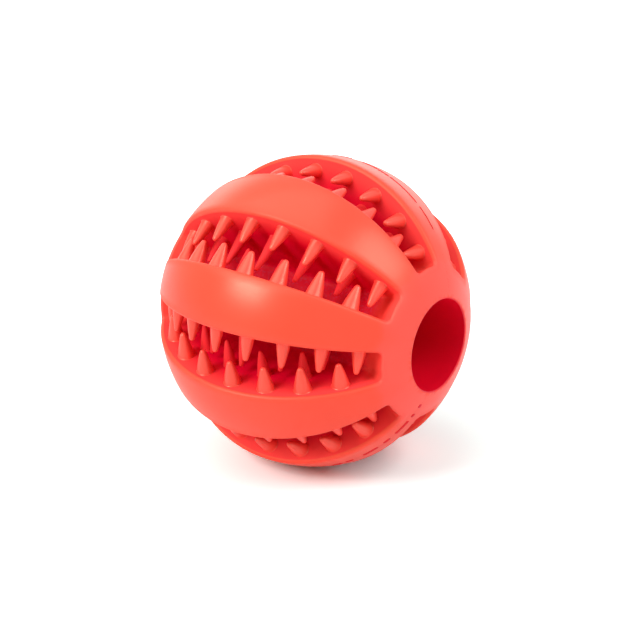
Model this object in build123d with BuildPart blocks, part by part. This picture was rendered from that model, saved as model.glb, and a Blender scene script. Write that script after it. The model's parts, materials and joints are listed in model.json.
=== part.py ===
from build123d import *
from math import acos, asin, atan2, cos, degrees, hypot, radians, sin, tan
import os

# A slotted rubber treat ball: a sleeve round a through bore, a collar at each end of it, and
# ribs like melon slices between the collars, with rows of soft teeth on both flanks of each rib.
# The origin is the ball's centre, +X runs along the bore, and +Z points up through a slot.
# Turns about the bore start at +Z and follow the right-hand rule about +X.

# Driving dimensions, in millimetres and degrees
ball_diameter = 70.0
bore_diameter = 21.0
sleeve_wall = 4.3
rim_round = 0.3  # rounding of the bore's two rims
rib_count = 8
slot_angle = 22.5  # turn about the bore from one flank of a slot to the other
collar_lip = 2.7  # height of a slot's end wall, from the sleeve to the ball's surface
mouth_round = 0.7  # rounding of the ribs' long outer edges
outer_tooth_diameter = 3.8  # at the root
outer_tip_radius = 0.8
inner_tooth_diameter = 3.4
inner_tip_radius = 0.5
tooth_inset = 0.8  # from the rounded edge of a rib to the roots of its outer teeth
row_spacing = 5.1  # from the outer row of teeth down to the inner row
outer_pitch = 8.3  # from tooth to tooth along the outer row
inner_pitch = 9.3  # from tooth to tooth along the inner row
tooth_clearance = 0.8  # least gap between a tooth's root and a collar or the sleeve
outer_gap = 2.1  # from an outer tooth's tip to the flank opposite, at the narrow end of its row
short_gap = 3.2  # the same for the short inner teeth, on left flanks
long_gap = 2.0  # the same for the long inner teeth, on right flanks, each at its own place

# Sizes that follow from them
ball_radius = ball_diameter / 2
bore_radius = bore_diameter / 2
sleeve_radius = bore_radius + sleeve_wall
rib_pitch = 360 / rib_count
rib_angle = rib_pitch - slot_angle
end_angle = degrees(asin((sleeve_radius + collar_lip) / ball_radius))  # end walls point at the centre
end_wall_foot = sleeve_radius / tan(radians(end_angle))
outer_tooth_radius = outer_tooth_diameter / 2
inner_tooth_radius = inner_tooth_diameter / 2
outer_row_radius = ball_radius - mouth_round - tooth_inset - outer_tooth_radius
inner_row_radius = outer_row_radius - row_spacing
outside = 2 * ball_radius  # safely past the ball's surface


def meridian(turn):
    """The plane through the bore axis at this turn: local X along the bore, local Y outwards."""
    return Plane(origin=(0, 0, 0), x_dir=(1, 0, 0), z_dir=(0, -cos(radians(turn)), -sin(radians(turn))))


def slot_width(row_radius, lean):
    """From one flank of a slot square across to the other, where a tooth leaning this far stands."""
    return row_radius * cos(radians(lean)) * tan(radians(slot_angle))


def row_leans(row_radius, tooth_radius, pitch, staggered):
    """How far each tooth of a row leans from the ball's equator, as it is seen from the centre."""
    root_room = tooth_radius + tooth_clearance
    end_limit = 90 - end_angle - degrees(root_room / row_radius)
    sleeve_limit = degrees(acos((sleeve_radius + root_room) / row_radius))
    step = degrees(pitch / row_radius)
    start = step / 2 if staggered else 0.0
    places = int((min(end_limit, sleeve_limit) - start) / step) + 1
    half_row = [start + step * place for place in range(places)]
    return sorted({-lean for lean in half_row} | set(half_row))


def add_tooth(turn, side, row_radius, lean, length, tooth_radius, tip_radius):
    """A round tooth standing square on the flank at this turn, with its rounded tip in the slot."""
    outwards = Vector(0, -sin(radians(turn)), cos(radians(turn)))
    normal = Vector(0, -cos(radians(turn)), -sin(radians(turn))) * side
    along = Vector(1, 0, 0)
    root = along * (row_radius * sin(radians(lean))) + outwards * (row_radius * cos(radians(lean)))
    tip_centre = length - tip_radius
    taper = acos(tip_radius / hypot(tooth_radius, tip_centre)) - atan2(tip_centre, tooth_radius)
    shoulder = (tip_radius * cos(taper), tip_centre + tip_radius * sin(taper))
    with BuildSketch(Plane(origin=root, x_dir=along, z_dir=along.cross(normal))) as section:
        with BuildLine():
            Polyline((0, length), (0, 0), (tooth_radius, 0), shoulder)
            RadiusArc(shoulder, (0, length), -tip_radius)
        make_face()
    revolve(section.sketch, axis=Axis(root, normal))


def finish(piece, name):
    """Label a finished piece and write it under its name."""
    piece.part.label = name
    export_step(piece.part, f"parts/{name}.step")
    print(name, len(piece.part.solids()), "solids,", round(piece.part.volume, 1), "mm3")


os.makedirs("parts", exist_ok=True)

# The sleeve round the bore, whose ends are part of the ball's surface
with BuildPart() as core_sleeve:
    with BuildSketch(meridian(0)):
        Circle(ball_radius)
        with Locations((0, bore_radius + sleeve_wall / 2)):
            Rectangle(outside, sleeve_wall, mode=Mode.INTERSECT)
    revolve(axis=Axis.X)
    rims = core_sleeve.edges().filter_by(GeomType.CIRCLE).sort_by(SortBy.RADIUS)[:2]
    fillet(rims, rim_round)
finish(core_sleeve, "core_sleeve")

# The collars that close the slots at both ends
for name, end in (("front_collar", 1), ("rear_collar", -1)):
    with BuildPart() as collar:
        with BuildSketch(meridian(0)):
            Circle(ball_radius)
            with BuildLine():
                Polyline(
                    (end * end_wall_foot, sleeve_radius),
                    (end * outside, sleeve_radius),
                    (end * outside, outside * tan(radians(end_angle))),
                    close=True,
                )
            make_face(mode=Mode.INTERSECT)
        revolve(axis=Axis.X)
    finish(collar, name)

# The ribs and the teeth on their two flanks
right_outer_leans = row_leans(outer_row_radius, outer_tooth_radius, outer_pitch, True)
right_inner_leans = row_leans(inner_row_radius, inner_tooth_radius, inner_pitch, False)
left_outer_leans = row_leans(outer_row_radius, outer_tooth_radius, outer_pitch, False)
left_inner_leans = row_leans(inner_row_radius, inner_tooth_radius, inner_pitch, True)
outer_length = slot_width(outer_row_radius, right_outer_leans[-1]) - outer_gap
short_length = slot_width(inner_row_radius, left_inner_leans[-1]) - short_gap
outer_form = (outer_tooth_radius, outer_tip_radius)
inner_form = (inner_tooth_radius, inner_tip_radius)
with BuildPart() as first_rib:
    with BuildSketch(meridian(slot_angle / 2)):
        Circle(ball_radius)
        with BuildLine():
            Polyline(
                (end_wall_foot, sleeve_radius),
                (outside / tan(radians(end_angle)), outside),
                (-outside / tan(radians(end_angle)), outside),
                (-end_wall_foot, sleeve_radius),
                close=True,
            )
        make_face(mode=Mode.INTERSECT)
    revolve(axis=Axis.X, revolution_arc=rib_angle)
    long_edges = first_rib.edges().sort_by(SortBy.LENGTH)[-2:]
    fillet(long_edges, mouth_round)

for number in range(1, rib_count + 1):
    turned = (number - 1) * rib_pitch  # from the first rib to this one
    left_flank = turned + slot_angle / 2
    right_flank = left_flank + rib_angle

    with BuildPart() as rib:
        add(first_rib.part.rotate(Axis.X, turned))
    finish(rib, f"rib_{number}")

    with BuildPart() as right_teeth:
        for lean in right_outer_leans:
            add_tooth(right_flank, 1, outer_row_radius, lean, outer_length, *outer_form)
        for lean in right_inner_leans:
            long_length = slot_width(inner_row_radius, lean) - long_gap
            add_tooth(right_flank, 1, inner_row_radius, lean, long_length, *inner_form)
    finish(right_teeth, f"rib_{number}_right_teeth")

    with BuildPart() as left_teeth:
        for lean in left_outer_leans:
            add_tooth(left_flank, -1, outer_row_radius, lean, outer_length, *outer_form)
        for lean in left_inner_leans:
            add_tooth(left_flank, -1, inner_row_radius, lean, short_length, *inner_form)
    finish(left_teeth, f"rib_{number}_left_teeth")
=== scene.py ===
import json

import bmesh
import bpy
import numpy as np
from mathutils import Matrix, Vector


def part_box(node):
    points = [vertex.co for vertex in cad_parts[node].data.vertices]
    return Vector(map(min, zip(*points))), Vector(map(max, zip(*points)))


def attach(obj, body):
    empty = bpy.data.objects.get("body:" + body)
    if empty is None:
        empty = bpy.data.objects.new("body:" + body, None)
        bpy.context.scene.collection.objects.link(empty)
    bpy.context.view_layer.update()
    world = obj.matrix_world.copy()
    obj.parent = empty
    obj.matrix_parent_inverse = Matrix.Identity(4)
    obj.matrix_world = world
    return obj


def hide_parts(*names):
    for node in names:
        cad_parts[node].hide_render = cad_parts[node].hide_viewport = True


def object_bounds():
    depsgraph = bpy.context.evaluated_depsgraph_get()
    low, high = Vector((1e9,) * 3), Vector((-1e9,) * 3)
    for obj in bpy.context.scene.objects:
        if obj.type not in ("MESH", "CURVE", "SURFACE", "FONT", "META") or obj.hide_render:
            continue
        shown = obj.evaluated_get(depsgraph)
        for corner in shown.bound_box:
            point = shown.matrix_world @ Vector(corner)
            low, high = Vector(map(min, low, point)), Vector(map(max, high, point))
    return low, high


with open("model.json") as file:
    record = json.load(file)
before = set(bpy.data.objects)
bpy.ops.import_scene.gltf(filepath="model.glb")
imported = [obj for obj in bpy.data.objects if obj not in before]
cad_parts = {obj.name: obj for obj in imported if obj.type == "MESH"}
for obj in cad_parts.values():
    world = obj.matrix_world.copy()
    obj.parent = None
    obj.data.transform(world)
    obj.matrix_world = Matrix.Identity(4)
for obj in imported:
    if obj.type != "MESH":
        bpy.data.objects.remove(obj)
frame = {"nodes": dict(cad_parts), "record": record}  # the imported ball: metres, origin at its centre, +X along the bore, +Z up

mm = 0.001
mergeDistance = 0.002 * mm  # seams and poles close within this
sameAngle = 1e-9  # turns closer than this are one
cadBox = [list(corner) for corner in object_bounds()]
print("frame loaded,", len(frame["nodes"]), "nodes")


def reachOf(node):  # how far a node reaches from the ball's centre
    mesh = frame["nodes"][node].data
    places = np.empty(len(mesh.vertices) * 3, np.float32)
    mesh.vertices.foreach_get("co", places)
    return float(np.linalg.norm(places.reshape(-1, 3), axis=1).max())


# sizes read from the frame
ballRadius = reachOf("front_collar")
boreRadius = frame["record"]["mounts"][0]["dims"]["r_mm"] * mm
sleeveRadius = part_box("core_sleeve")[1].z  # floor of every slot
endLean = np.arccos(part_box("front_collar")[1].z / ballRadius)  # where a slot ends, up from the equator
ribNodes = sorted(name for name in frame["nodes"] if name.startswith("rib_") and name.count("_") == 1)
sector = 2 * np.pi / len(ribNodes)  # turn about the bore from slot to slot
floorHeight = cadBox[0][2]  # the ball stands on it
print(f"ball {ballRadius / mm:.2f} mm, bore {boreRadius / mm:.2f} mm, {len(ribNodes)} ribs")


# Mesh helpers

def unit(vectors):  # the same directions, of length 1
    return vectors / np.linalg.norm(vectors, axis=-1, keepdims=True)


def mix(a, b, share):  # straight from a to b
    return a + (b - a) * share


def eased(share):  # 0 to 1 with soft ends
    share = np.clip(share, 0, 1)
    return share * share * (3 - 2 * share)


def towards(turn, lean):  # direction from the centre: turn about +X from +Z, lean up from the equator
    return np.stack([np.sin(lean), -np.cos(lean) * np.sin(turn), np.cos(lean) * np.cos(turn)], axis=-1)


def turnedAboutBore(points, turn):  # the same points, carried round the bore axis
    x, y, z = points[..., 0], points[..., 1], points[..., 2]
    cos, sin = np.cos(turn), np.sin(turn)
    return np.stack([x, y * cos - z * sin, y * sin + z * cos], axis=-1)


def ribTurn(number):  # turn to the middle of a rib, counted from 1
    return (number - 0.5) * sector


def gridCells(rows, columns, first):
    # corner numbers of a grid's cells, with its last column joined to the first
    row = np.arange(rows - 1)[:, None] * columns
    column = np.arange(columns)[None, :]
    beside = (column + 1) % columns
    above = row + columns
    cells = np.stack([row + column, row + beside, above + beside, above + column], axis=-1)
    return cells.reshape(-1, 4) + first


def pieceFromGrids(name, grids, marks=None, finishes=None):
    # one closed smooth mesh from grids whose columns run round in a loop; a mark is a value at each of a
    # grid's points, and a finish the number of the material of each row of its cells
    points = np.concatenate([grid.reshape(-1, 3) for grid in grids])
    firsts = np.cumsum([0] + [grid.shape[0] * grid.shape[1] for grid in grids])
    cells = np.concatenate([gridCells(*grid.shape[:2], first) for grid, first in zip(grids, firsts)])
    mesh = bpy.data.meshes.new(name)
    mesh.vertices.add(len(points))
    mesh.vertices.foreach_set("co", points.astype(np.float32).ravel())
    mesh.loops.add(cells.size)
    mesh.loops.foreach_set("vertex_index", cells.astype(np.int32).ravel())
    mesh.polygons.add(len(cells))
    mesh.polygons.foreach_set("loop_start", np.arange(0, cells.size, 4, dtype=np.int32))
    for mark, shares in (marks or {}).items():
        spread = [np.broadcast_to(share, grid.shape[:2]).ravel() for share, grid in zip(shares, grids)]
        values = np.concatenate(spread).astype(np.float32)
        mesh.attributes.new(mark, "FLOAT", "POINT").data.foreach_set("value", values)
    if finishes:
        finish = np.concatenate([np.repeat(rows, grid.shape[1]) for rows, grid in zip(finishes, grids)])
        mesh.polygons.foreach_set("material_index", finish.astype(np.int32))
    mesh.update(calc_edges=True)
    work = bmesh.new()
    work.from_mesh(mesh)
    bmesh.ops.remove_doubles(work, verts=work.verts, dist=mergeDistance)
    bmesh.ops.recalc_face_normals(work, faces=work.faces)
    openEdges = sum(1 for edge in work.edges if len(edge.link_faces) != 2)
    work.to_mesh(mesh)
    work.free()
    mesh.polygons.foreach_set("use_smooth", np.ones(len(mesh.polygons), bool))
    piece = bpy.data.objects.new(name, mesh)
    bpy.context.collection.objects.link(piece)
    print(f"{name}: {len(mesh.polygons)} faces, {openEdges} open edges")
    return piece


# The body: sleeve, collars and ribs as the one moulding that they are

body = {
    "slotShare": 0.5,  # of a sector's turn that is open
    "cornerRound": 1.2 * mm,  # a mouth's corners
    "flankEdge": 0.8 * mm,  # rounding of a rib's long edges
    "endEdge": 0.6 * mm,  # rounding of a slot's short ends
    "flankFoot": 1.8 * mm,  # where a flank meets the floor
    "endFoot": 3.0 * mm,  # where an end ramp meets it
    "floorPull": 0.1,  # the floor's middle line ends short of its ramps by this share
    "rampLightReach": 0.09,  # how far the painted light of an end ramp spreads along the flanks, in radians of lean
    "rimRound": 0.35 * mm,  # of the bore's rims, across
    "rimDrop": 0.2 * mm,  # and down into the bore
    "wornRows": 2,  # rows beside a mouth's edge over which its wear fades
    "flankPoints": 36,
    "cornerPoints": 11,  # odd, so that one point lies in the corner's middle
    "endPoints": 6,
    "landRows": 9,
    "edgeRows": 7,
    "wallRows": 8,
    "footRows": 9,
    "floorRows": 5,
    "rimRows": 9,
    "boreRows": 24,
}
slotHalf = 0.5 * body["slotShare"] * sector
rimCentre = np.sqrt((ballRadius - body["rimRound"]) ** 2 - (boreRadius + body["rimRound"]) ** 2)
rimLean = np.arctan2(rimCentre, boreRadius + body["rimRound"])  # where the bore's rim starts to round


def slotLoop():
    # turn and lean round a slot's mouth, those of its sector's border, and how much it is an end:
    # a quarter runs up the flank, round the corner and along the end, and three mirrored copies close it
    cornerLean = body["cornerRound"] / ballRadius
    cornerTurn = cornerLean / np.cos(endLean)
    up = np.linspace(0, 1, body["flankPoints"])
    bend = np.linspace(0, 1, body["cornerPoints"])[1:]
    along = np.linspace(1, 0, body["endPoints"])[1:]
    angle = bend * np.pi / 2
    bendPlaces = [0, 0.5, 1]  # a corner's start, middle and end
    turn = np.concatenate([
        np.full_like(up, slotHalf),
        slotHalf - cornerTurn * (1 - np.cos(angle)),
        (slotHalf - cornerTurn) * along,
    ])
    lean = np.concatenate([
        (endLean - cornerLean) * up,
        endLean - cornerLean * (1 - np.sin(angle)),
        np.full_like(along, endLean),
    ])
    borderTurn = np.concatenate([
        np.full_like(up, sector / 2),
        np.interp(bend, bendPlaces, [sector / 2, sector / 2, sector / 4]),
        sector / 4 * along,
    ])
    borderLean = np.concatenate([
        endLean * up,
        np.interp(bend, bendPlaces, [endLean, rimLean, rimLean]),
        np.full_like(along, rimLean),
    ])
    ending = np.concatenate([np.zeros_like(up), eased(bend), np.ones_like(along)])
    count = len(turn)
    order = np.concatenate([
        np.arange(count), np.arange(count - 2, -1, -1), np.arange(1, count), np.arange(count - 2, 0, -1),
    ])
    quarters = [count, count - 1, count - 1, count - 2]
    turnSide = np.repeat([1, -1, -1, 1], quarters)
    leanSide = np.repeat([1, 1, -1, -1], quarters)
    mouth = turn[order] * turnSide, lean[order] * leanSide
    border = borderTurn[order] * turnSide, borderLean[order] * leanSide
    return mouth, border, ending[order]


def onFloor(points):  # pushed square to the bore axis, onto the sleeve
    radius = np.hypot(points[:, 1], points[:, 2])[:, None]
    return np.concatenate([points[:, :1], points[:, 1:] * sleeveRadius / radius], axis=1)


def sectorGrid():
    # rows from a sector's border in over the land, the mouth's edge, the wall, its foot and the floor
    (turn, lean), (borderTurn, borderLean), ending = slotLoop()
    share = ending[:, None]
    mouth = towards(turn, lean)
    along = np.roll(mouth, -1, axis=0) - np.roll(mouth, 1, axis=0)
    away = unit(np.cross(along, mouth))  # square to the mouth's outline, away from the slot
    away *= np.sign(np.sum(away * (mouth - towards(0, 0)), axis=1, keepdims=True))
    edge = mix(body["flankEdge"], body["endEdge"], share)

    def besideMouth(offset, depth):  # this far outside the outline and this far under the surface
        swing = offset / ballRadius
        return (ballRadius - depth) * (mouth * np.cos(swing) + away * np.sin(swing))

    # land: straight from the border to the edge's start, pushed out to the sphere
    border = towards(borderTurn, borderLean)
    start = unit(besideMouth(edge, 0))
    land = [unit(mix(border, start, t)) * ballRadius for t in np.linspace(0, 1, body["landRows"])]
    # edge: a quarter round between the sphere and the wall
    quarter = np.linspace(0, np.pi / 2, body["edgeRows"])[1:]
    rounded = [besideMouth(edge * (1 - np.sin(a)), edge * (1 - np.cos(a))) for a in quarter]
    # wall: flanks and end ramps both point at the ball's centre
    corner = mouth * (sleeveRadius / np.cos(lean))[:, None]
    top = corner + mouth * mix(body["flankFoot"], body["endFoot"], share)
    wall = [mix(rounded[-1], top, t) for t in np.linspace(0, 1, body["wallRows"])[1:]]
    # foot: a quadratic curve from the wall to the floor
    flankTurn = turn - np.sign(turn) * body["flankFoot"] / sleeveRadius
    flankOut = np.stack([
        corner[:, 0], -sleeveRadius * np.sin(flankTurn), sleeveRadius * np.cos(flankTurn),
    ], axis=1)
    endOut = corner - np.sign(lean)[:, None] * np.array([body["endFoot"], 0, 0])
    runOut = onFloor(mix(flankOut, endOut, share))
    foot = [
        mix(mix(top, corner, t), mix(corner, runOut, t), t)
        for t in np.linspace(0, 1, body["footRows"])[1:]
    ]
    # floor: round the sleeve to the slot's middle line
    footTurn = np.arctan2(-runOut[:, 1], runOut[:, 2])
    middle = runOut[:, 0] * (1 - body["floorPull"] * ending)
    floor = []
    for t in np.linspace(0, 1, body["floorRows"])[1:]:
        x = mix(runOut[:, 0], middle, t)
        a = footTurn * (1 - t)
        floor.append(np.stack([x, -sleeveRadius * np.sin(a), sleeveRadius * np.cos(a)], axis=1))
    return np.stack(land + rounded + wall + foot + floor)


def boreGrid():  # a profile of rim, bore wall and rim, carried round the bore axis
    _, (borderTurn, borderLean), _ = slotLoop()
    rimTurns = np.sort(borderTurn[borderLean > rimLean - sameAngle])
    rimTurns = rimTurns[np.concatenate([[True], np.diff(rimTurns) > sameAngle])][:-1]
    turns = (rimTurns[None, :] + sector * np.arange(len(ribNodes))[:, None]).ravel()
    angle = np.linspace(np.pi / 2 - rimLean, -np.pi / 2, body["rimRows"])
    drop = np.where(angle > 0, body["rimRound"], body["rimDrop"])
    rimX = rimCentre + body["rimRound"] - drop * (1 - np.cos(angle))
    rimR = boreRadius + body["rimRound"] * (1 + np.sin(angle))
    wallX = np.linspace(rimX[-1], -rimX[-1], body["boreRows"])[1:-1]
    x = np.concatenate([rimX, wallX, -rimX[::-1]])[:, None]
    r = np.concatenate([rimR, np.full_like(wallX, boreRadius), rimR[::-1]])[:, None]
    return np.stack([x + 0 * turns, -r * np.sin(turns), r * np.cos(turns)], axis=-1)


def sectorMarks():
    # worn is 1 round the mouth's edge; the ramp mark, painted light that makes the end walls paler, is 1
    # on the end walls, and fades down their feet and along the flanks beside them
    (_, lean), _, ending = slotLoop()
    ending = np.maximum(ending, eased(1 - (endLean - np.abs(lean)) / body["rampLightReach"]))
    parts = "landRows", "edgeRows", "wallRows", "footRows", "floorRows"
    counts = np.array([body[part] - 1 for part in parts])
    landEnd, edgeEnd, wallEnd, footEnd, _ = np.cumsum(counts)
    row = np.arange(counts.sum() + 1)[:, None]
    fade = body["wornRows"]
    worn = np.interp(row, [landEnd - fade, landEnd, edgeEnd, edgeEnd + fade], [0, 1, 1, 0])
    paintedRampLight = np.interp(row, [(wallEnd + footEnd) / 2, footEnd], [1, 0]) * ending
    return worn, paintedRampLight


oneSector = sectorGrid()
bore = boreGrid()
sectors = [turnedAboutBore(oneSector, sector * number) for number in range(len(ribNodes))]
sectorWorn, sectorRampLight = sectorMarks()
outerCells = body["landRows"] + body["edgeRows"] - 2
sectorFinish = np.where(np.arange(len(oneSector) - 1) < outerCells, 0, 1)  # outside, slot
boreRow = np.arange(len(bore))
boreWorn = np.where(np.minimum(boreRow, len(bore) - 1 - boreRow) < body["rimRows"], 1.0, 0.0)
boreFinish = np.where(boreWorn[:-1] * boreWorn[1:] > 0, 0, 2)  # outside, bore
bodyMarks = {
    "worn": [sectorWorn] * len(sectors) + [boreWorn[:, None]],
    "paintedRampLight": [sectorRampLight] * len(sectors) + [0.0],
}
bodyFinishes = [sectorFinish] * len(sectors) + [boreFinish]
rubberBody = pieceFromGrids("rubber_body", sectors + [bore], bodyMarks, bodyFinishes)
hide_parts("core_sleeve", "front_collar", "rear_collar", *ribNodes)


# The teeth: round bullets that grow out of the flanks with a flared root

teeth = {
    "outerRow": 31.6 * mm,  # from the ball's centre to the middle of a root
    "innerRow": 26.5 * mm,
    "outerPitch": 8.3 * mm,
    "innerPitch": 9.3 * mm,
    "rightOuter": 8,  # teeth in each row: rows across a slot from each other are staggered
    "leftOuter": 7,
    "rightInner": 5,
    "leftInner": 4,
    "outerRoot": 1.62 * mm,  # radius at the root
    "broadRoot": 1.95 * mm,  # outer teeth on left flanks
    "innerRoot": 1.5 * mm,
    "outerTip": 0.66 * mm,
    "broadTip": 0.74 * mm,
    "innerTip": 0.5 * mm,
    "outerLength": 5.85 * mm,
    "broadLength": 5.65 * mm,
    "shortLength": 6.3 * mm,  # inner teeth on left flanks
    "longGap": 2.0 * mm,  # from the tips of the inner teeth on right flanks to the flank opposite
    "flare": 0.16 * mm,
    "bulge": 0.08 * mm,
    "sink": 0.4 * mm,  # how far a root is closed off inside its flank
    "stretchAlong": 1.03,  # a little longer along the row than into the slot
    "stretchDeep": 0.96,
    "sides": 16,
    "flareRows": 3,
    "sideRows": 4,
    "tipRows": 4,
    "lengthSpread": 0.03,
    "bendSpread": 0.16 * mm,
    "seed": 7,
}


def rowLeans(radius, pitch, count):  # evenly spaced, with the row's middle on the equator
    places = np.arange(count) - (count - 1) / 2
    return places * pitch / radius


def bulletProfile(root, tip, length):
    # radius and height up a tooth: a closed root, a quarter-round flare, a bulged side and a round tip
    root, tip, length = root[:, None], tip[:, None], length[:, None]
    tipCentre = length - tip
    taper = np.arccos(tip / np.hypot(root, tipCentre)) - np.arctan2(tipCentre, root)
    a = np.linspace(0, np.pi / 2, teeth["flareRows"])
    flareR = root + teeth["flare"] * (1 - np.sin(a))
    flareH = teeth["flare"] * (1 - np.cos(a)) + 0 * root
    t = np.linspace(0, 1, teeth["sideRows"])[1:]
    sideR = mix(root, tip * np.cos(taper), t) + teeth["bulge"] * np.sin(np.pi * t)
    sideH = mix(teeth["flare"], tipCentre + tip * np.sin(taper), t)
    b = mix(taper, np.pi / 2, np.linspace(0, 1, teeth["tipRows"])[1:])
    baseR = np.concatenate([0 * root, root + teeth["flare"]], axis=1)
    baseH = np.full_like(baseR, -teeth["sink"])
    radius = np.concatenate([baseR, flareR, sideR, tip * np.cos(b)], axis=1)
    height = np.concatenate([baseH, flareH, sideH, tipCentre + tip * np.sin(b)], axis=1)
    return radius, height


def toothGroup(name, flankTurn, side, rows, random):
    # the teeth of one flank, each a profile turned about its axis; the outer row has its own finish
    radii, leans, roots, tips, lengths = (np.concatenate(part) for part in zip(*rows))
    count = len(leans)
    lengths = lengths * (1 + teeth["lengthSpread"] * random.uniform(-1, 1, count))
    bends = teeth["bendSpread"] * random.uniform(-1, 1, (count, 2))
    deep = towards(flankTurn, leans)
    along = towards(flankTurn, leans + np.pi / 2)
    normal = side * np.array([0, -np.cos(flankTurn), -np.sin(flankTurn)])
    radius, height = bulletProfile(roots, tips, lengths)
    around = np.linspace(0, 2 * np.pi, teeth["sides"], endpoint=False)
    rise = (np.clip(height, 0, None) / lengths[:, None]) ** 2
    u = teeth["stretchAlong"] * radius[:, :, None] * np.cos(around) + (bends[:, :1] * rise)[:, :, None]
    v = teeth["stretchDeep"] * radius[:, :, None] * np.sin(around) + (bends[:, 1:] * rise)[:, :, None]
    foot = radii[:, None] * deep
    points = (
        foot[:, None, None] + along[:, None, None] * u[..., None] + deep[:, None, None] * v[..., None]
        + normal * height[:, :, None, None]
    )
    rowOf = np.repeat(np.arange(len(rows)), [len(row[0]) for row in rows])
    finishes = [np.full(radius.shape[1] - 1, row) for row in rowOf]
    return pieceFromGrids(name, list(points), finishes=finishes)


def slotWidth(radius, lean):  # square across a slot, from flank to flank
    return radius * np.cos(lean) * np.tan(2 * slotHalf)


def toothRow(radius, leans, root, tip, length):  # one value for each tooth of a row
    return np.broadcast_arrays(radius, leans, root, tip, length)


random = np.random.default_rng(teeth["seed"])
rightOuter = rowLeans(teeth["outerRow"], teeth["outerPitch"], teeth["rightOuter"])
leftOuter = rowLeans(teeth["outerRow"], teeth["outerPitch"], teeth["leftOuter"])
rightInner = rowLeans(teeth["innerRow"], teeth["innerPitch"], teeth["rightInner"])
leftInner = rowLeans(teeth["innerRow"], teeth["innerPitch"], teeth["leftInner"])
outerForm = teeth["outerRoot"], teeth["outerTip"]
broadForm = teeth["broadRoot"], teeth["broadTip"]
innerForm = teeth["innerRoot"], teeth["innerTip"]
longLengths = slotWidth(teeth["innerRow"], rightInner) - teeth["longGap"]
rightRows = [
    toothRow(teeth["outerRow"], rightOuter, *outerForm, teeth["outerLength"]),
    toothRow(teeth["innerRow"], rightInner, *innerForm, longLengths),
]
leftRows = [
    toothRow(teeth["outerRow"], leftOuter, *broadForm, teeth["broadLength"]),
    toothRow(teeth["innerRow"], leftInner, *innerForm, teeth["shortLength"]),
]
toothPieces = []
for number, rib in enumerate(ribNodes, 1):
    for flank, side, rows in (("right", 1, rightRows), ("left", -1, leftRows)):
        turn = ribTurn(number) + side * (sector / 2 - slotHalf)
        piece = toothGroup(f"{rib}_{flank}_bullets", turn, side, rows, random)
        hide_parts(f"{rib}_{flank}_teeth")
        toothPieces.append(piece)
print(len(toothPieces), "groups of teeth")


# The parting line: what is left of trimmed flash, on two ribs that lie across from each other

flash = {
    "dashes": {  # torn off by hand
        "rib": 4,
        "halfWidth": 0.55 * mm,
        "spans": (  # middle and half length of each, in degrees of lean
            (-58.0, 3.0), (-46.0, 1.5), (-35.0, 2.5), (-22.0, 3.0), (-11.0, 1.5), (4.0, 2.0),
            (24.8, 2.2), (30.3, 1.5), (40.0, 3.3), (47.8, 1.5), (55.7, 3.4), (61.9, 0.7), (66.3, 0.7),
        ),
    },
    "seam": {  # trimmed close
        "rib": 8,
        "halfWidth": 0.13 * mm,
        "spans": ((-44.0, 12.0), (-20.0, 6.0), (-3.3, 4.6), (12.0, 6.5), (26.5, 7.5), (41.0, 5.2)),
    },
    "fade": 0.8,  # degrees over which a span ends
    "height": 0.13 * mm,
    "sunk": 0.25 * mm,  # its foot
    "hidden": 0.06 * mm,  # and its top, where nothing is left of it
    "trimmedWidth": 0.5,  # share of its width there
    "endSlope": 40.0,  # how steeply it is drawn to a point at both rims
    "wander": 0.1 * mm,
    "waves": 8.5,  # of its wander, from rim to rim, in radians
    "steps": 640,
    "sides": 8,
}


def flashRidge(name, line):
    # a small round section carried from rim to rim, as high as the trimming left it
    s = np.linspace(-1, 1, flash["steps"])
    turn = ribTurn(line["rib"])
    lean = np.degrees(rimLean * s)
    inside = [half - np.abs(lean - middle) for middle, half in line["spans"]]
    spans = [eased(0.5 + degrees / flash["fade"]) for degrees in inside]
    left = np.max(spans, axis=0)
    around = np.linspace(0, 2 * np.pi, flash["sides"], endpoint=False)
    top = mix(-flash["hidden"], flash["height"], left)[:, None]
    lift = np.where(np.sin(around) > 0, top, flash["sunk"]) * np.sin(around)
    swing = line["halfWidth"] * np.cos(around) * mix(flash["trimmedWidth"], 1, left)[:, None]
    wander = flash["wander"] * np.sin(flash["waves"] * s)[:, None]
    ends = np.minimum(1, (1 - np.abs(s)) * flash["endSlope"])[:, None]
    radius = ballRadius - flash["sunk"] + (lift + flash["sunk"]) * ends
    direction = towards(turn, rimLean * s)[:, None]
    across = np.array([0, -np.cos(turn), -np.sin(turn)])
    points = direction * radius[..., None] + across * (swing * ends + wander)[..., None]
    return pieceFromGrids(name, [points])


flashLines = flash["dashes"], flash["seam"]
flashPieces = [flashRidge(f"parting_line_{line['rib']}", line) for line in flashLines]


# Materials

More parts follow.
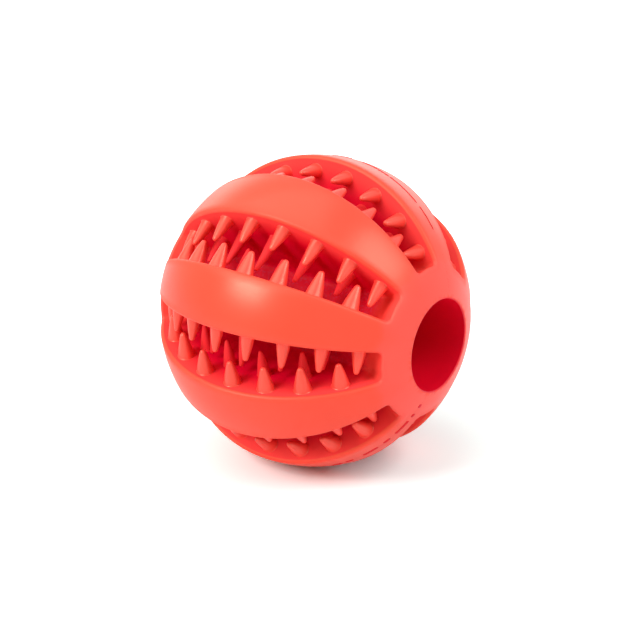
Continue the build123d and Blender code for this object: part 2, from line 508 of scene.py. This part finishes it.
coral = (0.93, 0.060, 0.031, 1)
# painted shade: the slots' coral is pinker than the outside's, so that their shade comes out crimson
slotShadeCoral = (0.95, 0.056, 0.054, 1)
toothCoral = (0.93, 0.064, 0.044, 1)
# painted shade: the crimson that the colour darkens to deep in the slots and the bore
paintedShadeCrimson = (0.78, 0.001, 0.032, 1)
bodyShadeDepth = 33.6 * mm, 27.0 * mm  # painted shade: from the centre, the colour darkens from here to here, deep in the slots
rubber = {
    # painted shade: each surface's deep colour takes over between the two radii of its depth, so it
    # darkens deep in the slots, on the teeth in them and in the bore
    "surfaces": {
        "outer": {
            "lit": coral, "deep": paintedShadeCrimson, "depth": bodyShadeDepth,
            "roughness": 0.31, "specular": 0.5, "sheen": 0.14,
        },
        "slot": {
            "lit": slotShadeCoral, "deep": paintedShadeCrimson, "depth": bodyShadeDepth,
            "roughness": 0.5, "specular": 0.12,
        },
        "bore": {
            "lit": coral, "deep": (0.79, 0.0015, 0.022, 1), "depth": bodyShadeDepth,
            "roughness": 0.6, "specular": 0.06,
        },
        "outerTooth": {
            "lit": toothCoral, "deep": (0.90, 0.014, 0.045, 1), "depth": (32.5 * mm, 27.5 * mm),
            "roughness": 0.31, "specular": 0.65,
        },
        "innerTooth": {
            "lit": toothCoral, "deep": (0.91, 0.022, 0.050, 1), "depth": (31.0 * mm, 25.0 * mm),
            "roughness": 0.5, "specular": 0.12,
        },
        # painted shade: the flash's darker red stands in for the shade on its torn and trimmed ridges
        "flash": {
            "lit": (0.74, 0.010, 0.020, 1), "deep": paintedShadeCrimson, "depth": bodyShadeDepth,
            "roughness": 0.5, "specular": 0.2,
        },
    },
    "specularTint": (1.0, 0.96, 0.72, 1),  # highlights come back warm
    "sheenRoughness": 0.3,
    "sheenTint": (1.0, 0.86, 0.72, 1),
    # painted light: the end ramps are made paler, as if lit
    "paintedRampLight": (0.95, 0.078, 0.060, 1),
    "fleck": (0.62, 0.060, 0.130, 1),
    "boreEdge": 0.5 * mm,  # over this width round the bore the colour darkens into painted shade
    "clouds": {"scale": 55.0, "detail": 3},  # scales are per metre
    "grain": {"scale": 2600.0, "detail": 2},
    "flecks": {"scale": 1700.0, "detail": 2},
    "noiseRange": (0.3, 0.7),  # most of a noise's values lie in it
    "fleckRange": (0.5, 0.68),  # flecks start and are full here
    "cloudDepth": 0.10,
    "fleckReach": 1.2 * mm,  # flecks lie this close to the floors of the slots
    "fleckShare": 0.4,
    "roughnessSpread": 0.06,
    "wornRoughness": 0.2,  # more round the mouths' edges
    "bumpStrength": 0.12,
    "bumpHeight": 0.03 * mm,
    "floorBump": 3.0,  # more grain on the floors of the slots
}


def feed(socket, value):  # a number is set on a socket, another socket is linked to it
    if isinstance(value, bpy.types.NodeSocket):
        socket.id_data.links.new(value, socket)
    else:
        socket.default_value = value


def mathNode(nodes, operation, a, b):
    node = nodes.new("ShaderNodeMath")
    node.operation = operation
    feed(node.inputs[0], a)
    feed(node.inputs[1], b)
    return node.outputs["Value"]


def lengthNode(nodes, vector, axes):  # length of a vector's share along these axes
    chosen = nodes.new("ShaderNodeVectorMath")
    chosen.operation = "MULTIPLY"
    chosen.inputs[1].default_value = axes
    feed(chosen.inputs[0], vector)
    length = nodes.new("ShaderNodeVectorMath")
    length.operation = "LENGTH"
    feed(length.inputs[0], chosen.outputs["Vector"])
    return length.outputs["Value"]


def rangeNode(nodes, value, start, stop, low=0, high=1, kind="SMOOTHSTEP"):
    node = nodes.new("ShaderNodeMapRange")
    node.interpolation_type = kind
    settings = {"Value": value, "From Min": start, "From Max": stop, "To Min": low, "To Max": high}
    for name, setting in settings.items():
        feed(node.inputs[name], setting)
    return node.outputs["Result"]


def attributeNode(nodes, name):
    node = nodes.new("ShaderNodeAttribute")
    node.attribute_name = name
    return node.outputs["Fac"]


def blendNode(nodes, share, a, b):  # from colour a to colour b
    node = nodes.new("ShaderNodeMix")
    node.data_type = "RGBA"
    feed(node.inputs["Factor"], share)
    feed(node.inputs["A"], a)
    feed(node.inputs["B"], b)
    return node.outputs["Result"]


def noiseNode(nodes, vector, noise):
    node = nodes.new("ShaderNodeTexNoise")
    node.inputs["Scale"].default_value = noise["scale"]
    node.inputs["Detail"].default_value = noise["detail"]
    feed(node.inputs["Vector"], vector)
    return node.outputs["Fac"]


groupSockets = (
    ("Lit", "NodeSocketColor", "INPUT"), ("Painted Shade", "NodeSocketColor", "INPUT"),
    ("Lit Radius", "NodeSocketFloat", "INPUT"), ("Painted Shade Radius", "NodeSocketFloat", "INPUT"),
    ("Base Roughness", "NodeSocketFloat", "INPUT"),
    ("Colour", "NodeSocketColor", "OUTPUT"), ("Roughness", "NodeSocketFloat", "OUTPUT"),
    ("Height", "NodeSocketFloat", "OUTPUT"),
)


def mouldedRubberGroup():
    # colour with painted shade that darkens it in the slots and the bore, painted light on the end
    # ramps, clouds, flecks, worn edges and a moulded grain
    group = bpy.data.node_groups.new("mouldedRubber", "ShaderNodeTree")
    for name, kind, way in groupSockets:
        group.interface.new_socket(name=name, in_out=way, socket_type=kind)
    nodes = group.nodes
    given = nodes.new("NodeGroupInput").outputs
    made = nodes.new("NodeGroupOutput").inputs
    place = nodes.new("ShaderNodeTexCoord").outputs["Object"]
    fromCentre = lengthNode(nodes, place, (1, 1, 1))
    fromAxis = lengthNode(nodes, place, (0, 1, 1))
    grain = noiseNode(nodes, place, rubber["grain"])
    # painted shade: how deep, by distance from the centre, and whole in the bore
    depth = rangeNode(nodes, fromCentre, given["Lit Radius"], given["Painted Shade Radius"])
    inBore = rangeNode(nodes, fromAxis, boreRadius + rubber["boreEdge"], boreRadius)
    colour = blendNode(nodes, mathNode(nodes, "MAXIMUM", depth, inBore), given["Lit"], given["Painted Shade"])
    # pink flecks where the floor of a slot is rough, and end ramps made paler with painted light
    nearFloor = rangeNode(nodes, fromAxis, sleeveRadius + rubber["fleckReach"], sleeveRadius)
    nearFloor = mathNode(nodes, "SUBTRACT", nearFloor, inBore)
    flecks = noiseNode(nodes, place, rubber["flecks"])
    flecks = rangeNode(nodes, flecks, *rubber["fleckRange"], 0, rubber["fleckShare"])
    colour = blendNode(nodes, mathNode(nodes, "MULTIPLY", flecks, nearFloor), colour, rubber["fleck"])
    colour = blendNode(nodes, attributeNode(nodes, "paintedRampLight"), colour, rubber["paintedRampLight"])
    clouds = noiseNode(nodes, place, rubber["clouds"])
    shade = rangeNode(nodes, clouds, *rubber["noiseRange"], 1 - rubber["cloudDepth"], 1, "LINEAR")
    tint = nodes.new("ShaderNodeHueSaturation")
    feed(tint.inputs["Value"], shade)
    feed(tint.inputs["Color"], colour)
    feed(made["Colour"], tint.outputs["Color"])
    # roughness varies with the grain and rises where an edge is worn
    spread = rubber["roughnessSpread"] / 2
    rough = rangeNode(nodes, grain, *rubber["noiseRange"], -spread, spread, "LINEAR")
    rough = mathNode(nodes, "ADD", rough, given["Base Roughness"])
    worn = mathNode(nodes, "MULTIPLY", attributeNode(nodes, "worn"), rubber["wornRoughness"])
    feed(made["Roughness"], mathNode(nodes, "ADD", rough, worn))
    rugged = rangeNode(nodes, nearFloor, 0, 1, 1, rubber["floorBump"])
    feed(made["Height"], mathNode(nodes, "MULTIPLY", grain, rugged))
    return group


def rubberMaterial(name, group):  # the shared group with one surface's own values
    surface = rubber["surfaces"][name]
    material = bpy.data.materials.new(f"{name}Rubber")
    material.use_nodes = True
    nodes = material.node_tree.nodes
    shader = nodes["Principled BSDF"].inputs
    shader["Specular IOR Level"].default_value = surface["specular"]
    shader["Specular Tint"].default_value = rubber["specularTint"]
    shader["Sheen Weight"].default_value = surface.get("sheen", 0)
    shader["Sheen Roughness"].default_value = rubber["sheenRoughness"]
    shader["Sheen Tint"].default_value = rubber["sheenTint"]
    moulded = nodes.new("ShaderNodeGroup")
    moulded.node_tree = group
    values = surface["lit"], surface["deep"], *surface["depth"], surface["roughness"]
    for socket, value in zip(moulded.inputs, values):
        socket.default_value = value
    bump = nodes.new("ShaderNodeBump")
    bump.inputs["Strength"].default_value = rubber["bumpStrength"]
    bump.inputs["Distance"].default_value = rubber["bumpHeight"]
    feed(bump.inputs["Height"], moulded.outputs["Height"])
    feed(shader["Base Color"], moulded.outputs["Colour"])
    feed(shader["Roughness"], moulded.outputs["Roughness"])
    feed(shader["Normal"], bump.outputs["Normal"])
    return material


group = mouldedRubberGroup()
made = {name: rubberMaterial(name, group) for name in rubber["surfaces"]}
dressed = (
    ([rubberBody], ("outer", "slot", "bore")),
    (toothPieces, ("outerTooth", "innerTooth")),
    (flashPieces, ("flash",)),
)
for pieces, surfaces in dressed:
    for piece in pieces:
        for surface in surfaces:
            piece.data.materials.append(made[surface])
        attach(piece, "root")
print("materials set")


# Floor, light and camera

studio = {
    "floorSize": 3.0,
    "floorBounce": (0.87, 0.75, 0.77, 1),  # what the floor gives back to the ball
    "floorSeen": (1.05, 1.30, 1.30, 1),  # and how pale the camera finds it
    "worldLight": 0.40,
    "warmSide": (-0.81, -0.58, 0.0),  # the air is warm towards here
    "warmRange": (-0.3, 0.5),  # cosines from that side at which the warmth starts and is full
    "whiteAir": (1.0, 1.0, 1.0, 1),
    "warmAir": (1.0, 0.93, 0.70, 1),
    "lampDistance": 0.9,
    "lamps": {
        "left": {"direction": (-0.32, -0.76, 0.57), "wide": 0.4, "high": 0.4, "power": 5.8},
        "right": {"direction": (0.70, 0.16, 0.70), "wide": 0.54, "high": 0.54, "power": 4.5},
        "top": {"direction": (-0.34, -0.16, 0.92), "wide": 1.0, "high": 1.0, "power": 4.1},
        "back": {"direction": (-0.58, 0.80, 0.17), "wide": 1.4, "high": 0.5, "power": 1.9},
    },
}


def raysOf(nodes, *kinds):  # 1 for rays of these kinds, else 0
    light = nodes.new("ShaderNodeLightPath").outputs
    value = light[kinds[0]]
    for kind in kinds[1:]:
        value = mathNode(nodes, "MAXIMUM", value, light[kind])
    return value


def makeFloor():  # one sheet under the ball
    reach = studio["floorSize"] / 2
    mesh = bpy.data.meshes.new("floor")
    corners = [(-reach, -reach), (reach, -reach), (reach, reach), (-reach, reach)]
    mesh.from_pydata([(x, y, floorHeight) for x, y in corners], [], [(0, 1, 2, 3)])
    floor = bpy.data.objects.new("floor", mesh)
    bpy.context.collection.objects.link(floor)
    paper = bpy.data.materials.new("whitePaper")
    paper.use_nodes = True
    nodes = paper.node_tree.nodes
    nodes.remove(nodes["Principled BSDF"])
    diffuse = nodes.new("ShaderNodeBsdfDiffuse")
    seen = raysOf(nodes, "Is Camera Ray")
    feed(diffuse.inputs["Color"], blendNode(nodes, seen, studio["floorBounce"], studio["floorSeen"]))
    feed(nodes["Material Output"].inputs["Surface"], diffuse.outputs["BSDF"])
    mesh.materials.append(paper)


def makeWorld():  # soft light all round, warm on one side, that shows as white
    world = bpy.data.worlds.new("studioAir")
    world.use_nodes = True
    nodes = world.node_tree.nodes
    background = nodes["Background"].inputs
    turned = nodes.new("ShaderNodeVectorMath")
    turned.operation = "DOT_PRODUCT"
    turned.inputs[1].default_value = studio["warmSide"]
    feed(turned.inputs[0], nodes.new("ShaderNodeTexCoord").outputs["Generated"])
    warm = rangeNode(nodes, turned.outputs["Value"], *studio["warmRange"])
    feed(background["Color"], blendNode(nodes, warm, studio["whiteAir"], studio["warmAir"]))
    seen = raysOf(nodes, "Is Camera Ray", "Is Glossy Ray", "Is Transmission Ray")
    feed(background["Strength"], rangeNode(nodes, seen, 0, 1, studio["worldLight"], 1, "LINEAR"))
    bpy.context.scene.world = world


def makeSoftbox(name, box):  # a rectangle of light that faces the ball
    lamp = bpy.data.lights.new(name, "AREA")
    lamp.shape = "RECTANGLE"
    lamp.size = box["wide"]
    lamp.size_y = box["high"]
    lamp.energy = box["power"]
    softbox = bpy.data.objects.new(name, lamp)
    direction = Vector(box["direction"]).normalized()
    softbox.location = direction * studio["lampDistance"]
    softbox.rotation_euler = direction.to_track_quat("Z", "Y").to_euler()
    bpy.context.collection.objects.link(softbox)


view = {
    "azimuth": 35.5,  # degrees from the front
    "elevation": 23.2,
    "distance": 22 * ballRadius,
    "lens": 193.2,
    "sensor": 36.0,
    "shift": (0.00775, -0.01489),  # the ball sits a little left of and above the frame's middle
}


def makeCamera():
    data = bpy.data.cameras.new("photoCamera")
    data.sensor_width = view["sensor"]
    data.lens = view["lens"]
    data.shift_x, data.shift_y = view["shift"]
    camera = bpy.data.objects.new("photoCamera", data)
    azimuth = np.radians(view["azimuth"])
    elevation = np.radians(view["elevation"])
    level = np.cos(elevation)
    away = Vector((np.sin(azimuth) * level, -np.cos(azimuth) * level, np.sin(elevation)))
    camera.location = away * view["distance"]
    camera.rotation_euler = away.to_track_quat("Z", "Y").to_euler()
    bpy.context.collection.objects.link(camera)
    bpy.context.scene.camera = camera


makeFloor()
makeWorld()
for side, lamp in studio["lamps"].items():
    makeSoftbox(f"{side}Softbox", lamp)
makeCamera()
bpy.context.scene.view_settings.view_transform = "Standard"
print("studio set")
